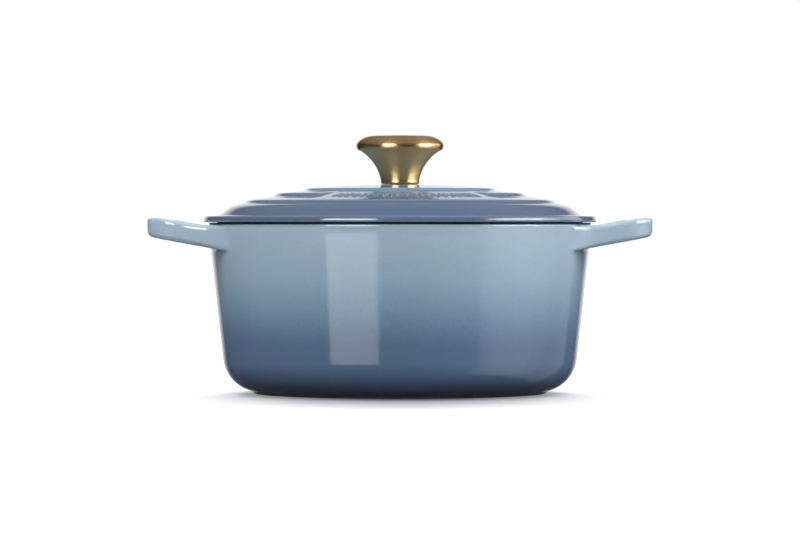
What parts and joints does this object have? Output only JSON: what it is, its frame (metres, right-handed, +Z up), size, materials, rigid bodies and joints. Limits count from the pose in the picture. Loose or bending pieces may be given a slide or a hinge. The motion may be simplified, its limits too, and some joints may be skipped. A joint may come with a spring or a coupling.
{
  "type": "cast iron dutch oven",
  "caption": "Round enamelled cast iron pot with loop side handles and a terraced lift-off lid with a trumpet-shaped metal knob.",
  "frame": {"origin": "centre of the foot ring, on the surface that the pot stands on", "axes": "+Z up along the pot's axis; X through the two loop handles; -Y is the front, where the lid's plain panel is"},
  "size_m": [0.3286, 0.2554, 0.1674],
  "materials": {
    "pot_enamel": "glossy vitreous enamel on cast iron, light grey-blue at the rim fading to dark navy at the foot",
    "lid_enamel": "glossy slate-blue vitreous enamel on cast iron",
    "lining_enamel": "glossy sand-coloured vitreous enamel lining on cast iron",
    "rim_enamel": "matte black ground-coat enamel on the rims",
    "gold_steel": "satin-polished stainless steel with a warm gold coating",
    "bright_steel": "plain bright stainless steel",
    "seat_rubber": "matte black heat-proof rubber"
  },
  "bodies": {
    "pot": {"pot": "pot_enamel"},
    "lid": {"lid": "lid_enamel", "knob_cap": "gold_steel", "knob_skirt": "gold_steel", "knob_threaded_bush": "bright_steel", "knob_seat_washer": "seat_rubber", "flat_washer": "bright_steel", "lock_washer": "bright_steel", "knob_screw": "bright_steel"}
  },
  "joints": [
    {"name": "lid_lift", "type": "slide", "parent": "pot", "child": "lid", "axis": [0, 0, 1], "range_m": [0, 0.15]}
  ]
}
